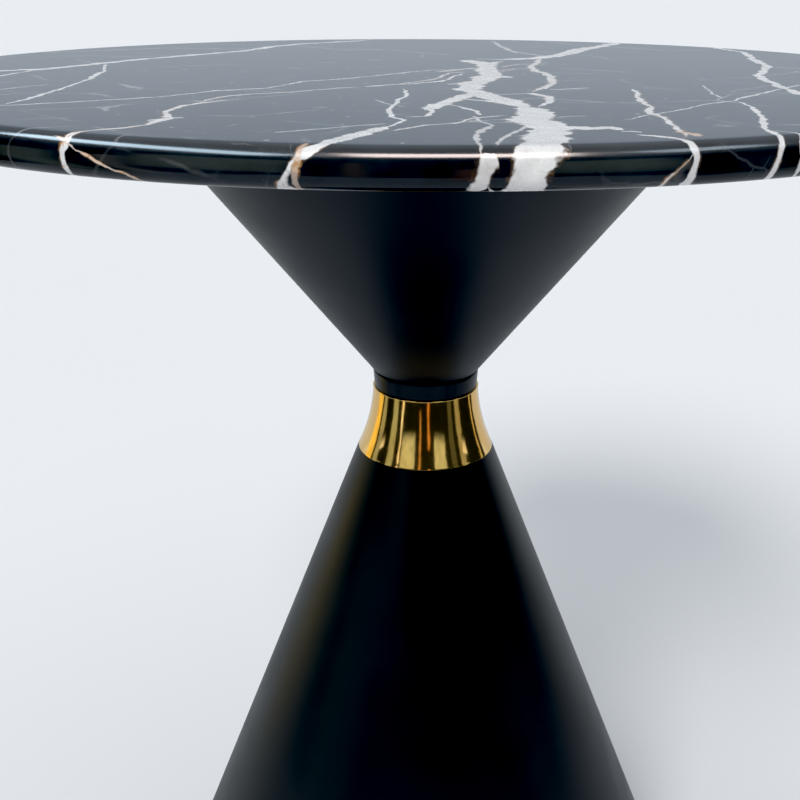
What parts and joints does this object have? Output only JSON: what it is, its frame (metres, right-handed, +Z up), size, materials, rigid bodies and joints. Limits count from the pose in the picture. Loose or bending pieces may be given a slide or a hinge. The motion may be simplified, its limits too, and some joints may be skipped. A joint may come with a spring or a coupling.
{
  "type": "pedestal table",
  "caption": "Round pedestal table: black veined stone top on an hourglass pedestal of black steel cones, joined by a flared polished brass collar, on levelling feet.",
  "frame": {"origin": "on the floor, in the middle of the base, with the levelling feet screwed fully in", "axes": "+Z up along the pedestal's axis; the front is towards -Y"},
  "size_m": [0.6999, 0.7, 0.75],
  "materials": {
    "stone": "polished black stone with white and gold-brown veins",
    "black_paint": "satin black powder coat",
    "neck_black": "deep black lacquer, low sheen",
    "polished_brass": "mirror-polished, gold-coloured",
    "insert_brass": "turned brass",
    "zinc_steel": "bright zinc plate",
    "plain_steel": "plain rolled steel",
    "ballast_iron": "rough grey casting, primed",
    "rubber": "matt black rubber",
    "foot_plastic": "black moulded plastic"
  },
  "bodies": {
    "table": {"marble_top": "stone", "stone_inserts": "insert_brass", "stone_pad": "rubber", "mounting_plate": "black_paint", "plate_washers": "zinc_steel", "plate_screws": "zinc_steel", "rod_boss": "plain_steel", "upper_cone": "black_paint", "upper_cone_floor": "plain_steel", "neck_ring": "neck_black", "gold_collar": "polished_brass", "spacer_tube": "plain_steel", "lower_cone": "black_paint", "lower_cone_cap": "plain_steel", "tie_rod": "zinc_steel", "rod_washer": "zinc_steel", "rod_spring_washer": "zinc_steel", "rod_nut": "zinc_steel", "seat_ring": "plain_steel", "base_plate": "black_paint", "ballast_disc": "ballast_iron", "ballast_screws": "zinc_steel", "edge_trim": "rubber", "foot_nuts": "zinc_steel", "foot_lock_nuts": "zinc_steel"},
    "foot_pad_1": {"foot_1_pad": "foot_plastic"},
    "foot_stud_1": {"foot_1_stud": "zinc_steel"},
    "foot_pad_2": {"foot_2_pad": "foot_plastic"},
    "foot_stud_2": {"foot_2_stud": "zinc_steel"},
    "foot_pad_3": {"foot_3_pad": "foot_plastic"},
    "foot_stud_3": {"foot_3_stud": "zinc_steel"},
    "foot_pad_4": {"foot_4_pad": "foot_plastic"},
    "foot_stud_4": {"foot_4_stud": "zinc_steel"}
  },
  "joints": [
    {"name": "foot_1_height", "type": "slide", "parent": "table", "child": "foot_pad_1", "axis": [0, 0, -1], "range_m": [0, 0.01]},
    {"name": "foot_1_turn", "type": "hinge", "parent": "foot_pad_1", "child": "foot_stud_1", "pos_m": [0.13157, 0.13157, 0.02], "axis": [0, 0, -1], "range_deg": [0, 2400]},
    {"name": "foot_2_height", "type": "slide", "parent": "table", "child": "foot_pad_2", "axis": [0, 0, -1], "range_m": [0, 0.01]},
    {"name": "foot_2_turn", "type": "hinge", "parent": "foot_pad_2", "child": "foot_stud_2", "pos_m": [-0.13157, 0.13157, 0.02], "axis": [0, 0, -1], "range_deg": [0, 2400]},
    {"name": "foot_3_height", "type": "slide", "parent": "table", "child": "foot_pad_3", "axis": [0, 0, -1], "range_m": [0, 0.01]},
    {"name": "foot_3_turn", "type": "hinge", "parent": "foot_pad_3", "child": "foot_stud_3", "pos_m": [-0.13157, -0.13157, 0.02], "axis": [0, 0, -1], "range_deg": [0, 2400]},
    {"name": "foot_4_height", "type": "slide", "parent": "table", "child": "foot_pad_4", "axis": [0, 0, -1], "range_m": [0, 0.01]},
    {"name": "foot_4_turn", "type": "hinge", "parent": "foot_pad_4", "child": "foot_stud_4", "pos_m": [0.13157, -0.13157, 0.02], "axis": [0, 0, -1], "range_deg": [0, 2400]}
  ],
  "couplings": [
    {"joint": "foot_1_turn", "follows": "foot_1_height", "rad_per_m": 4188.8},
    {"joint": "foot_2_turn", "follows": "foot_2_height", "rad_per_m": 4188.8},
    {"joint": "foot_3_turn", "follows": "foot_3_height", "rad_per_m": 4188.8},
    {"joint": "foot_4_turn", "follows": "foot_4_height", "rad_per_m": 4188.8}
  ]
}
